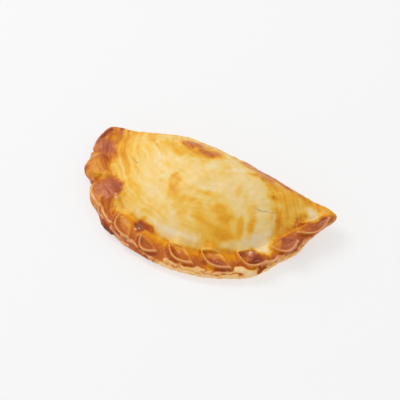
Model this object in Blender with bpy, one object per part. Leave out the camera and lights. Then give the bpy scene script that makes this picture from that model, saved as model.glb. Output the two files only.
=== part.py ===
"""A beef empanada: a half-moon turnover of baked dough, closed along its round side by a twisted crimp.

The crust is one closed solid. Its surface is a grid: rays run from the outline in plan over the top to a line
under the dome's middle, and back to it underneath, so the crimped rim, the rounded fold and the flat base all
follow from the sizes below. The crimps stand out of the rim as relief.
"""
import math

import bmesh
import bpy
import numpy as np

# Plan of the turnover, in millimetres: the fold lies along X at the back, the crimped edge bows to the front.
HALF_LENGTH = 64.8
RIGHT_REACH = 2.2
LEFT_REACH = 2.6
DEPTH = 62.6
FOLD_BOW = 6.5
FOLD_LEAN = 0.58
TIP_ROUNDING = 2.3

# Heights above the table.
DOME_HEIGHT = 28.2
LEFT_TIP_HEIGHT = 6.6
FOLD_HEIGHT = 8.6
RIGHT_TIP_HEIGHT = 11.4

# How far the dome takes to rise from each side.
CRIMP_RISE = 38.0
FOLD_RISE = 24.5
LEFT_RISE = 64.0
RIGHT_RISE = 20.0

# The crimped rim is a low roll: its width at the front and at the tips, its half height and its middle height.
RIM_WIDTH_FRONT = 12.5
RIM_WIDTH_TIPS = 8.0
RIM_HALF_HEIGHT = 3.4
RIM_MIDDLE_FRONT = 3.4
RIM_MIDDLE_LEFT = 4.8
RIM_MIDDLE_RIGHT = 9.2

# Widest stretch of the flat base, along X: every ray of the surface runs to a point on this line.
CORE_HALF_LENGTH = 34.0
CORE_Y = -22.0

# Small swells and dents of the crimped edge: place along it, half width, how far out.
EDGE_SWELLS = [
    (8.0, 11.0, 0.8),
    (31.0, 5.5, 2.6),
    (38.5, 2.6, -1.6),
    (49.0, 8.0, 1.2),
    (66.0, 5.0, 2.2),
    (80.0, 4.0, 0.8),
    (108.0, 28.0, -0.9),
    (147.0, 7.0, 0.9),
    (165.0, 8.0, -2.2),
    (175.0, 5.0, 0.2),
    (184.0, 8.0, -3.0),
    (195.0, 5.0, -1.2),
]

# The crimps, each a pinched fold: place along the edge, distance in from it, half length, half width,
# slant in degrees, rise, depth of its hollow, height of its lip.
CRIMPS = [
    (7.0,    8.0, 10.0, 6.5, 10, 1.2, 0.2, 0.3),
    (29.5,   9.5, 11.0, 7.0, 14, 2.6, 0.0, 0.3),
    (48.5,  10.0, 11.5, 8.0, 16, 2.6, 0.0, 0.4),
    (62.0,   5.5,  5.0, 2.8, 30, 1.3, 0.5, 0.35),
    (75.0,   7.6,  8.8, 4.4, 24, 1.6, 0.7, 0.45),
    (92.8,   6.6,  7.6, 3.4, 17, 1.9, 1.0, 0.5),
    (110.4,  8.6,  9.6, 4.3, 25, 2.0, 1.1, 0.5),
    (129.6,  9.2, 10.2, 4.7, 27, 2.1, 1.2, 0.5),
    (149.8,  8.9,  9.9, 5.0, 33, 2.1, 1.3, 0.5),
    (170.2,  7.9,  8.4, 5.2, 19, 2.1, 1.2, 0.5),
    (189.6,  7.8,  8.4, 5.2, 14, 1.9, 1.3, 0.5),
]

# Strands of the rope that pass under the crimps, low on the outer side: place, distance in, half length, half width, rise.
STRANDS = [
    (68.0,   1.6,  7.0, 2.2, 1.2),
    (84.0,   1.8,  9.0, 2.3, 1.1),
    (101.0,  1.8, 10.0, 2.3, 1.1),
    (119.5,  1.8, 10.5, 2.4, 1.1),
    (139.0,  1.8, 10.0, 2.4, 1.2),
    (158.5,  1.6, 10.0, 2.4, 1.4),
    (177.5,  2.0,  8.0, 2.2, 1.0),
]

# The grid: rays along the crimped side (and as many along the fold), and rings over and under the crust.
RAYS = 300
OVER_TOP = 26
OVER_RIM = 40
UNDER_RIM = 12
OVER_BASE = 5
KEPT_SHARE = 0.098

MM = 0.001
WELD = 0.000001
FLAT_BELOW = 0.00003

CRUST_COLOUR = (0.78, 0.47, 0.15, 1.0)
CRUST_ROUGHNESS = 0.45


def smooth(x, low, high):
    t = np.clip((x - low) / (high - low), 0.0, 1.0)
    return t * t * (3.0 - 2.0 * t)


def soft_max(a, b, width):
    h = np.clip(0.5 + 0.5 * (a - b) / width, 0.0, 1.0)
    return b * (1.0 - h) + a * h + width * h * (1.0 - h)


def pillow(t, shoulder, roundness):
    """Rise from 0 to 1, steep at the start and level at the end, as dough over a filling."""
    return (1.0 - (1.0 - np.clip(t, 0.0, 1.0)) ** shoulder) ** (1.0 / roundness)


def swell(x, middle, half_width):
    return np.exp(-((x - middle) / half_width) ** 2)


def fold_line(x):
    """The back edge in plan: it bows back left of the middle and pulls in beside the left tip."""
    u = x / HALF_LENGTH
    bow = np.clip(1.0 - u ** 2, 0.0, 1.0) * (1.0 - FOLD_LEAN * u)
    return FOLD_BOW * bow * smooth(u, -0.95, -0.2)


def fold_height(x):
    """Height of the middle of the fold's rounded edge, from tip to tip."""
    left = LEFT_TIP_HEIGHT + (FOLD_HEIGHT - LEFT_TIP_HEIGHT) * smooth(x, -66.0, -25.0)
    return left + (RIGHT_TIP_HEIGHT - left) * smooth(x, 25.0, 66.0)


def rim_width(x, y):
    turn = np.abs(np.arctan2(x, -np.minimum(y, -1e-6))) / (np.pi / 2.0)
    return RIM_WIDTH_FRONT + (RIM_WIDTH_TIPS - RIM_WIDTH_FRONT) * smooth(turn, 0.55, 1.0)


def dome(x, y):
    """Height of the filled part over a point of the plan."""
    radius = np.sqrt((x / HALF_LENGTH) ** 2 + (np.minimum(y, 0.0) / DEPTH) ** 2)
    crimp_side = pillow((1.0 - (rim_width(x, y) - 1.0) / DEPTH - radius) / (CRIMP_RISE / DEPTH), 2.0, 1.35)
    from_fold = fold_line(x) - y
    fold_side = pillow(from_fold / FOLD_RISE, 2.0, 2.0)
    left_side = pillow((x + HALF_LENGTH - 4.0) / LEFT_RISE, 2.0, 1.5)
    right_side = pillow((HALF_LENGTH - 2.0 - x) / RIGHT_RISE, 2.0, 2.0)
    foot = 6.0 + (fold_height(x) - 6.0) * smooth(-from_fold, -28.0, 0.0)
    return foot + (DOME_HEIGHT - foot) * crimp_side * fold_side * left_side * right_side


def even_points(line, count):
    """Points spaced evenly along a line, and the length of line before each."""
    length = np.r_[0.0, np.cumsum(np.hypot(*np.diff(line, axis=0).T))]
    places = np.linspace(0.0, length[-1], count + 1)
    return np.stack([np.interp(places, length, line[:, axis]) for axis in (0, 1)], 1), places


def round_corners(ring, width):
    """Blur a closed ring of even points, which rounds its corners."""
    step = np.hypot(*(ring[1] - ring[0]))
    reach = int(3.0 * width / step)
    weights = np.exp(-0.5 * (np.arange(-reach, reach + 1) * step / width) ** 2)
    weights /= weights.sum()
    padded = np.concatenate([ring[-reach:], ring, ring[:reach]])
    return np.stack([np.convolve(padded[:, axis], weights, "valid") for axis in (0, 1)], 1)


def edge_plan(count):
    """The outline in plan: `count` points along the crimped edge from the left tip, then as many along the fold."""
    fine = 2000
    turn = np.linspace(0.0, np.pi, fine)
    half_way = HALF_LENGTH * np.pi / 2.0
    place = turn / np.pi * 2.0 * half_way
    out = sum(reach * swell(place, middle, width) for middle, width, reach in EDGE_SWELLS)
    crimped = np.stack([-(HALF_LENGTH + out) * np.cos(turn), -(DEPTH + out) * np.sin(turn)], 1)
    x = np.linspace(HALF_LENGTH, -HALF_LENGTH, fine)
    fold = np.stack([x, fold_line(x)], 1)
    ring = np.concatenate([crimped[:-1], fold])
    near_fold = smooth(ring[:, 1], -16.0, -4.0)
    ring[:, 0] += RIGHT_REACH * smooth(ring[:, 0], 50.0, HALF_LENGTH) * near_fold
    ring[:, 0] += LEFT_REACH * smooth(ring[:, 0], -50.0, -HALF_LENGTH) * near_fold
    even = even_points(ring, 2 * fine)[0][:-1]
    even = round_corners(even, TIP_ROUNDING)
    split = int(np.argmax(even[:, 0]))
    crimped, along = even_points(even[: split + 1], count)
    fold, back = even_points(np.concatenate([even[split:], even[:1]]), count)
    return crimped[:-1], along, fold[:-1], back


def crimp(along, across, place, inset, half_length, half_width, slant, rise, scoop, lip):
    """One pinched fold: a leaf, blunt at its inner end and pointed at its outer one, hollow inside a thin lip."""
    turn = math.radians(slant)
    u, v = along - place, inset - across
    xi = (u * math.cos(turn) + v * math.sin(turn)) / half_length
    eta = (v * math.cos(turn) - u * math.sin(turn)) / half_width
    taper = 1.0 - 0.3 * np.clip(xi, -1.3, 1.3)
    leaf = (np.abs(xi) ** np.where(xi > 0.0, 1.9, 2.4) + np.abs(eta / taper) ** 2) ** 0.5
    outside = (leaf - 1.0) * half_width * 0.85
    pad = smooth(-outside, -0.35, 0.55)
    skirt = np.exp(-np.clip(outside, 0.0, None) / np.where(eta < 0.0, 3.0, 0.5))
    edge = np.exp(-((outside + 0.6) / 0.55) ** 2) * (0.7 + 0.3 * smooth(eta, -0.6, 0.4))
    hollow = np.clip(1.0 - (leaf / 0.9) ** 2, 0.0, 1.0) ** 0.6
    height = rise * np.maximum(pad, 0.7 * skirt) + lip * edge - scoop * hollow
    groove = swell(outside, 0.9, 0.7) * smooth(eta, -0.5, 0.1)
    return height, pad, groove


def strand(along, across, place, inset, half_length, half_width, rise):
    shape = ((along - place) / half_length) ** 2 + ((across - inset) / half_width) ** 2
    return rise * np.sqrt(np.clip(1.0 - shape, 0.0, 1.0))


def rim_relief(along, across):
    """Height of the crimps and strands over the plain roll of the rim."""
    height = np.zeros(along.shape)
    pads = np.zeros(along.shape)
    grooves = np.zeros(along.shape)
    for numbers in STRANDS:
        height = np.maximum(height, strand(along, across, *numbers))
    for numbers in CRIMPS:
        leaf, pad, groove = crimp(along, across, *numbers)
        height = np.maximum(height * (1 - pad), leaf)
        pads = np.maximum(pads, pad)
        grooves = np.maximum(grooves, groove)
    return height - 0.8 * grooves * (1.0 - pads)


def blur(field, rings, rays):
    """Gaussian blur of a grid of vectors: across its rings, whose ends stop, and round its rays, which close."""
    for axis, width in ((1, rings), (0, rays)):
        reach = int(3 * width)
        steps = np.arange(-reach, reach + 1)
        weights = np.exp(-0.5 * (steps / width) ** 2)
        padded = np.pad(field, [(reach, reach) if k == axis else (0, 0) for k in range(3)],
                        mode="edge" if axis == 1 else "wrap")
        count = field.shape[axis]
        field = sum(w * np.take(padded, np.arange(count) + k, axis) for k, w in enumerate(weights / weights.sum()))
    return field


def unit(vectors):
    return vectors / np.maximum(np.linalg.norm(vectors, axis=2, keepdims=True), 1e-9)


def crust(count, over, rim, under, base):
    """The whole crust as a grid: a ray from each outline point over the top to the core line, and another below."""
    crimped, along, fold, back = edge_plan(count)
    edge = np.concatenate([crimped, fold])
    index = np.arange(2 * count)
    share = np.where(index <= count, index, 2 * count - index) / count
    share = 0.7 * (1.0 - np.cos(np.pi * share)) / 2.0 + 0.3 * share
    core = np.stack([CORE_HALF_LENGTH * (2.0 * share - 1.0), np.full(2 * count, CORE_Y)], 1)
    span = np.hypot(*(core - edge).T)[:, None]

    # Place of each ray along the crimped edge, and how much it is crimp (1) or fold (0).
    length = along[-1]
    on_crimp = index <= count
    here = np.where(on_crimp, along[np.minimum(index, count)], 0.0)
    behind = np.interp(index - count, np.arange(count + 1), back)
    to_tip = np.where(on_crimp, np.minimum(here, length - here), -np.minimum(behind, back[-1] - behind))
    near_right = (index > count) & (behind < back[-1] / 2.0)
    place = np.where(on_crimp, here, np.where(near_right, length - to_tip, to_tip))[:, None]
    crimp_share = smooth(to_tip, -7.0, 3.0)[:, None]

    # Distance in from the edge along each ray: close together over the rim, wide apart over the dome and the base.
    rim_reach, under_reach = 15.0, 8.0
    quarter = np.pi / 2.0
    from_edge = np.concatenate([
        rim_reach + (span - rim_reach) * np.linspace(1.0, 0.0, over + 1)[:-1],
        np.broadcast_to(rim_reach * (1.0 - np.sin(np.linspace(0.0, quarter, rim + 1)[:-1])), (2 * count, rim)),
        np.broadcast_to(under_reach * (1.0 - np.cos(np.linspace(0.0, quarter, under + 1)[:-1])), (2 * count, under)),
        under_reach + (span - under_reach) * np.linspace(0.0, 1.0, base + 1),
    ], 1)
    x = edge[:, None, 0] + (core - edge)[:, None, 0] * from_edge / span
    y = edge[:, None, 1] + (core - edge)[:, None, 1] * from_edge / span

    # Heights: the roll of the rim and the rounded fold, the dome over them, and the base underneath.
    portion = place / length
    rim_middle = (RIM_MIDDLE_FRONT
                  + (RIM_MIDDLE_LEFT - RIM_MIDDLE_FRONT) * smooth(portion, 0.3, 0.0)
                  + (RIM_MIDDLE_RIGHT - RIM_MIDDLE_FRONT) * smooth(portion, 0.7, 1.0))
    middle = rim_middle * crimp_share + fold_height(x) * (1.0 - crimp_share)
    half = rim_width(edge[:, 0], edge[:, 1])[:, None] / 2.0
    arch = np.sqrt(np.clip(1.0 - np.clip((half - from_edge) / half, -1.0, 1.0) ** 2, 0.0, 1.0))
    roll = rim_middle + RIM_HALF_HEIGHT * arch - 0.8 * np.clip(from_edge - 2.0 * half, 0.0, None)
    filled = dome(x, y)
    top_crimp = soft_max(np.where(from_edge > half, filled, filled - 1.2 * (half - from_edge)), roll, 4.0)
    lift = np.sqrt(np.clip(1.0 - (1.0 - np.clip(from_edge / 5.0, 0.0, 1.0)) ** 2, 0.0, 1.0))
    top_fold = soft_max(filled, middle, 3.0) + np.where(from_edge < 5.0, 2.0 * (lift - from_edge / 5.0), 0.0)
    top = top_crimp * crimp_share + top_fold * (1.0 - crimp_share)
    tuck = 6.5 * crimp_share + 10.0 * (1.0 - crimp_share)
    low = (rim_middle - RIM_HALF_HEIGHT + 0.2) * crimp_share
    curl = np.sqrt(1.0 - np.clip(1.0 - from_edge / tuck, 0.0, 1.0) ** 2)
    bottom = (low + (middle - low) * (1.0 - curl)) * (1.0 - smooth(from_edge, tuck * 0.9, tuck + 5.0))
    above = np.arange(from_edge.shape[1]) < over + rim
    plain = np.stack([x, y, np.where(above, top, bottom)], 2)

    # Length of crust from the edge, over the top (+) or underneath (-).
    steps = np.linalg.norm(np.diff(plain, axis=1), axis=2)
    run = np.concatenate([np.zeros((2 * count, 1)), np.cumsum(steps, 1)], 1)
    across = run[:, over + rim][:, None] - run

    # The relief stands out along the crust's own direction, blurred so that it stays even round the tight edge.
    round_it = np.roll(plain, 1, 0) - np.roll(plain, -1, 0)
    outward = unit(np.cross(round_it, np.gradient(plain, axis=1)))
    outward = unit(blur(outward, rim / 8.0, 3.0 * count / 400.0))
    relief = rim_relief(np.broadcast_to(place, across.shape), across)
    relief = relief * crimp_share * smooth(from_edge, 26.0, 18.0)
    shaped = plain + outward * relief[:, :, None]
    shaped[:, :, 2] = np.maximum(shaped[:, :, 2], 0.0)
    return shaped


def fine_mesh(name):
    """The crust's grid as a closed mesh in metres, its rays joined along the core line."""
    grid = crust(RAYS, OVER_TOP, OVER_RIM, UNDER_RIM, OVER_BASE) * MM
    rays, rings = grid.shape[:2]
    form = bmesh.new()
    points = [[form.verts.new(point) for point in ray] for ray in grid]
    for i in range(rays):
        k = (i + 1) % rays
        for j in range(rings - 1):
            form.faces.new((points[i][j], points[i][j + 1], points[k][j + 1], points[k][j]))
    bmesh.ops.remove_doubles(form, verts=form.verts, dist=WELD)
    bmesh.ops.recalc_face_normals(form, faces=form.faces)
    mesh = bpy.data.meshes.new(name)
    form.to_mesh(mesh)
    form.free()
    return mesh


def thin_out(thing):
    """Fewer faces where the crust is plain, and as many as it needs along the crimps."""
    fewer = thing.modifiers.new("fewer_faces", "DECIMATE")
    fewer.ratio = KEPT_SHARE
    fewer.use_collapse_triangulate = True
    bpy.context.view_layer.objects.active = thing
    bpy.ops.object.modifier_apply(modifier=fewer.name)


def settle(mesh):
    """Flatten the base exactly, and move the origin under the middle of the crust's box."""
    places = np.array([vertex.co for vertex in mesh.vertices])
    places[places[:, 2] < FLAT_BELOW, 2] = 0.0
    low, high = places.min(0), places.max(0)
    places[:, :2] -= (low[:2] + high[:2]) / 2.0
    for vertex, place in zip(mesh.vertices, places):
        vertex.co = place


def baked_dough(name):
    material = bpy.data.materials.new(name)
    material.use_nodes = True
    shader = material.node_tree.nodes["Principled BSDF"]
    shader.inputs["Base Color"].default_value = CRUST_COLOUR
    shader.inputs["Roughness"].default_value = CRUST_ROUGHNESS
    shader.inputs["Metallic"].default_value = 0.0
    return material


def make_pastry():
    pastry = bpy.data.objects.new("pastry", fine_mesh("pastry"))
    bpy.context.scene.collection.objects.link(pastry)
    thin_out(pastry)
    settle(pastry.data)
    pastry.data.materials.append(baked_dough("baked_dough"))
    pastry.data.shade_smooth()


def main():
    for thing in list(bpy.data.objects):
        bpy.data.objects.remove(thing, do_unlink=True)
    make_pastry()


main()
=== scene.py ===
"""A beef empanada on a pale table: baked crust, twisted crimp, brushed egg wash and browned spots."""
import math
from collections import namedtuple

import bpy
import numpy as np
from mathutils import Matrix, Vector


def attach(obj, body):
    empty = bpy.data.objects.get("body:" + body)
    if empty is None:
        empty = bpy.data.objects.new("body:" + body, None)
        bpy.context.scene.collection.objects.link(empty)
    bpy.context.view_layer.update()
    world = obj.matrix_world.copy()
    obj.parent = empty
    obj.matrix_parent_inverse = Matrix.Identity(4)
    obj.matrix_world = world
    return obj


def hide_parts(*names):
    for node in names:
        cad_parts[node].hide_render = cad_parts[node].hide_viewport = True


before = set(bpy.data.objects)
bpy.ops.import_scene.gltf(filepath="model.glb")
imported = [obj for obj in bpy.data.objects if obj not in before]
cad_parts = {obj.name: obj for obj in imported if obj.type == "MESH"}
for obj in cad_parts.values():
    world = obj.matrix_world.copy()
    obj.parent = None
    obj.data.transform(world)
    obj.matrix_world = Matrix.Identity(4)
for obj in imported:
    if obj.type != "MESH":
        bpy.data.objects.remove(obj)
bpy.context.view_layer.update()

MM = 0.001

# The grid of the crust: rays along the crimped edge and along the fold, and rings over the dome, over the
# rim, under the rim and over the base. The rays of the crimp are a whole multiple of those of the fold, so
# that they end in the same points of the core line.
CRIMP_RAYS = 561
FOLD_RAYS = 187
OVER_DOME = 36
OVER_RIM = 70
UNDER_RIM = 20
OVER_BASE = 5

# How many rings and rays the direction of the relief is blurred over.
BLUR_RINGS = OVER_RIM / 8.0
BLUR_RAYS = CRIMP_RAYS * 0.0075

# The rings lie close together this far in from the edge, over it and under it.
RIM_REACH = 15.0
UNDER_REACH = 8.0

# Widest stretch of the flat base, along X: every ray of the surface runs to a point on this core line.
CORE_HALF_LENGTH = 34.0
CORE_Y = -22.0

# Points of the grid closer than this, in metres, are welded.
WELD_DISTANCE = 0.000002

# The dough's sizes are in millimetres. In plan it is half an ellipse, crimped along its curve at the front
# and folded along its back, which bows out left of the middle. Beside the fold both ends shift to the right.
HALF_LENGTH = 64.8
DEPTH = 62.6
RIGHT_SHIFT = 2.2
LEFT_SHIFT = 2.6
FOLD_BOW = 6.5
FOLD_LEAN = 0.58
TIP_ROUNDING = 2.3

# Heights above the table: of the dome, of the foot that it rises from, and of the fold from tip to tip.
DOME_HEIGHT = 28.2
FOOT_HEIGHT = 6.0
LEFT_TIP_HEIGHT = 6.6
FOLD_HEIGHT = 8.6
RIGHT_TIP_HEIGHT = 11.4

# How far the dome takes to rise from each side, and how far in from each tip it starts.
CRIMP_RISE = 38.0
FOLD_RISE = 24.5
LEFT_RISE = 64.0
RIGHT_RISE = 20.0
LEFT_START = 4.0
RIGHT_START = 2.0

# The crimped rim is a low roll: its width at the front and at the tips, its half height, and the height of
# its middle at the front and at each tip.
RIM_WIDTH_FRONT = 12.5
RIM_WIDTH_TIPS = 8.0
RIM_HALF_HEIGHT = 3.4
RIM_MIDDLE_FRONT = 3.4
RIM_MIDDLE_LEFT = 4.8
RIM_MIDDLE_RIGHT = 9.2

# The bend of the fold: how far in it is rounded, and how much it stands up. Then how far the crust curls in
# under the rim and under the fold.
BEND_REACH = 5.0
BEND_RISE = 2.0
CRIMP_TUCK = 6.5
FOLD_TUCK = 10.0

# Small swells and dents of the crimped edge: place along it, half width, how far out.
EDGE_SWELLS = [
    (8.0, 11.0, 0.8),
    (31.0, 5.5, 2.6),
    (38.5, 2.6, -1.6),
    (49.0, 8.0, 1.2),
    (66.0, 5.0, 2.2),
    (80.0, 4.0, 0.8),
    (108.0, 28.0, -0.9),
    (147.0, 7.0, 0.9),
    (165.0, 8.0, -2.2),
    (175.0, 5.0, 0.2),
    (184.0, 8.0, -3.0),
    (196.0, 6.0, -2.4),
]

# A place on the rim is given by its length along the crimped edge from the left tip, and its length of crust
# in from that edge.

# The three soft lobes of the left end: middle, half length, half width, slant in degrees, rise.
Lobe = namedtuple("Lobe", "middle half_length half_width slant rise")
LOBES = [
    Lobe((6.0, 7.0), 10.0, 5.5, 10, 1.3),
    Lobe((29.5, 8.5), 10.5, 7.5, 14, 2.6),
    Lobe((49.0, 9.0), 10.5, 8.5, 16, 2.7),
]

# The petals of the crimp, each a pinched fold: its inner end and its tip, how far its lower and its upper
# side bow out, where the upper side is fullest (below 1 near the inner end) and how square it is (below 1
# squarer), rise, depth of the hollow, height of the lower and the upper lip, how baked it is beside the upper
# side, how baked and darkened as painted shade its deep hollow is beside the lower side, and how rosy.
Petal = namedtuple("Petal", "inner tip belly back skew square rise scoop "
                            "low_lip high_lip upper_bake lower_bake rosy")
PETALS = [
    Petal((67.3, 10.8), (82.3, 4.0), 4.6, 3.8, 1.0, 1.0, 1.4, 0.9, 0.70, 0.00, 0.58, 0.80, 0.0),
    Petal((86.0, 8.6), (99.2, 4.9), 4.2, 1.8, 0.9, 1.0, 1.9, 1.7, 0.72, 0.15, 0.66, 0.86, 0.4),
    Petal((101.8, 12.6), (118.9, 4.8), 4.3, 4.0, 0.8, 1.2, 2.0, 1.9, 0.72, 0.45, 0.54, 0.86, 0.0),
    Petal((120.6, 13.8), (138.5, 4.6), 4.5, 4.8, 0.7, 1.2, 2.1, 2.0, 0.72, 0.45, 0.54, 0.98, 0.4),
    Petal((141.7, 14.3), (157.8, 3.2), 4.8, 5.2, 0.7, 1.2, 2.1, 2.0, 0.72, 0.25, 0.80, 1.00, 0.0),
    Petal((162.8, 8.5), (176.8, 4.0), 3.5, 7.5, 0.9, 0.7, 2.1, 1.7, 0.72, 0.00, 0.66, 0.88, 0.5),
    Petal((180.2, 6.6), (198.0, 3.9), 3.9, 10.5, 1.1, 1.3, 1.8, 1.9, 0.70, 0.20, 0.70, 0.92, 0.2),
]

# A full lip is this high.
LIP_HEIGHT = 0.72

# Cords of dough that twist under the petals, low on the outer side: half width, rise, how baked, how much of
# it the egg wash missed, and the places it runs through.
Cord = namedtuple("Cord", "half_width rise bake bare path")
CORDS = [
    Cord(0.5, 0.4, 0.60, 0.9, [(36.5, 2.8), (44.6, 2.6), (51.7, 3.4), (56.2, 3.0)]),
    Cord(0.5, 0.4, 0.60, 0.8, [(55.0, 4.2), (61.0, 3.6), (65.0, 4.4), (69.4, 4.6)]),
    Cord(0.5, 0.3, 0.66, 0.6, [(54.0, 1.8), (60.0, 1.4), (64.0, 2.6)]),
    Cord(1.5, 1.2, 0.97, 0.0, [(64.5, 1.6), (68.0, 0.8), (71.6, 1.2)]),
    Cord(0.9, 0.7, 0.66, 0.6, [(70.5, 2.8), (76.0, 1.2), (84.0, 0.5)]),
    Cord(0.8, 0.7, 0.58, 0.7, [(77.0, 2.6), (82.0, 3.4), (86.5, 3.6), (91.0, 1.9), (97.0, 1.0)]),
    Cord(1.1, 0.6, 0.50, 0.7, [(104.0, 2.8), (106.5, 2.6), (112.5, 2.4), (119.0, 2.5), (125.0, 3.2)]),
    Cord(1.3, 0.6, 0.30, 0.9, [(103.6, 0.4), (106.0, 0.2), (119.0, 0.1), (131.0, 0.2), (141.0, 1.0)]),
    Cord(0.9, 0.6, 0.52, 0.7, [(123.0, 1.7), (128.0, 2.2), (134.0, 2.4), (139.0, 3.2)]),
    Cord(1.7, 0.9, 0.20, 0.8, [(139.5, 4.2), (142.5, 4.4), (146.0, 3.2), (149.5, 1.4)]),
    Cord(0.8, 0.8, 0.92, 0.0, [(151.4, 1.2), (153.4, 1.9), (155.8, 1.8)]),
    Cord(0.9, 0.6, 0.58, 0.7, [(153.5, 3.0), (158.0, 2.2), (165.0, 2.2), (171.0, 2.7)]),
    Cord(1.1, 0.6, 0.35, 0.9, [(156.0, 0.2), (166.0, -0.4), (176.0, 0.4)]),
    Cord(1.0, 0.6, 0.62, 0.6, [(172.0, 3.4), (177.0, 1.6), (184.0, 0.2), (196.0, 0.6)]),
]

# Creases of the left end, between the lobes and where their edge is tucked under, dented and painted dark as
# shade: depth, width, path.
CREASES = [
    (0.5, 0.9, [(17.5, 0.0), (18.5, 4.0), (17.5, 7.0)]),
    (0.6, 0.9, [(39.5, 0.0), (39.0, 4.0), (37.5, 7.0)]),
    (0.5, 0.5, [(53.5, 6.0), (58.0, 4.6), (61.0, 5.2)]),
    (0.4, 0.5, [(57.0, 8.5), (61.5, 6.0), (66.5, 6.4)]),
    (0.35, 0.5, [(61.0, 11.0), (65.0, 8.0)]),
    (0.5, 0.5, [(-3.0, 6.6), (3.0, 5.6), (9.0, 5.0)]),
    (0.4, 0.5, [(-3.5, 10.0), (2.0, 8.8), (6.0, 9.0)]),
    (0.35, 0.5, [(-1.5, 4.0), (5.0, 3.0), (12.0, 3.2)]),
]

# Small bumps where the filling pushed up: middle, half width, rise.
BUMPS = [
    ((149.8, 11.4), 1.5, 1.5),
    ((191.0, 10.5), 1.2, 0.9),
]

# The middle of the turnover's box in the plan above, where the part has its origin.
MIDDLE_X = 1.40
MIDDLE_Y = -27.80

# The filling's mound, the low step round it and the brush's way, in places counted from that origin. The
# brush swept round a point behind the fold, and right of the mound it swept round the mound. The two sweep
# radii turn the angle of a sweep into a length of stroke, and the offset lays the two runs side by side.
MOUND = (20.0, -2.0)
MOUND_RADIUS = 21.6
MOUND_STEP = 0.55
SWEEP = (0.0, 42.0)
SWEEP_RADIUS = 45.0
MOUND_SWEEP_RADIUS = 25.0
MOUND_SWEEP_OFFSET = 37.0

# The brush's way is kept in the mesh in units of this many millimetres.
BRUSH_UNIT = 100.0

# How baked the dough is, from 0 (cream) to 1 (dark brown): the plain dome; the rim where it meets the dome,
# its top and its lobes; the outer foot of the rim, and that foot under the front crimps, paler there partly
# as painted light; dark spots, grooves darkened as painted shade, and lips lightened as painted highlight;
# the lower side of the fold; and the base on the tray.
PLAIN_BAKE = 0.20
RIM_INNER_BAKE = 0.54
RIM_TOP_BAKE = 0.75
LOBE_BAKE = 0.58
FOOT_BAKE = 0.74
FRONT_FOOT_BAKE_AND_LIGHT = 0.28
SPOT_BAKE = 0.86
GROOVE_SHADE = 0.92
LIP_BAKE_AND_HIGHLIGHT = 0.46
UNDER_FOLD_BAKE = 0.60
TRAY_BAKE = 0.64
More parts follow.
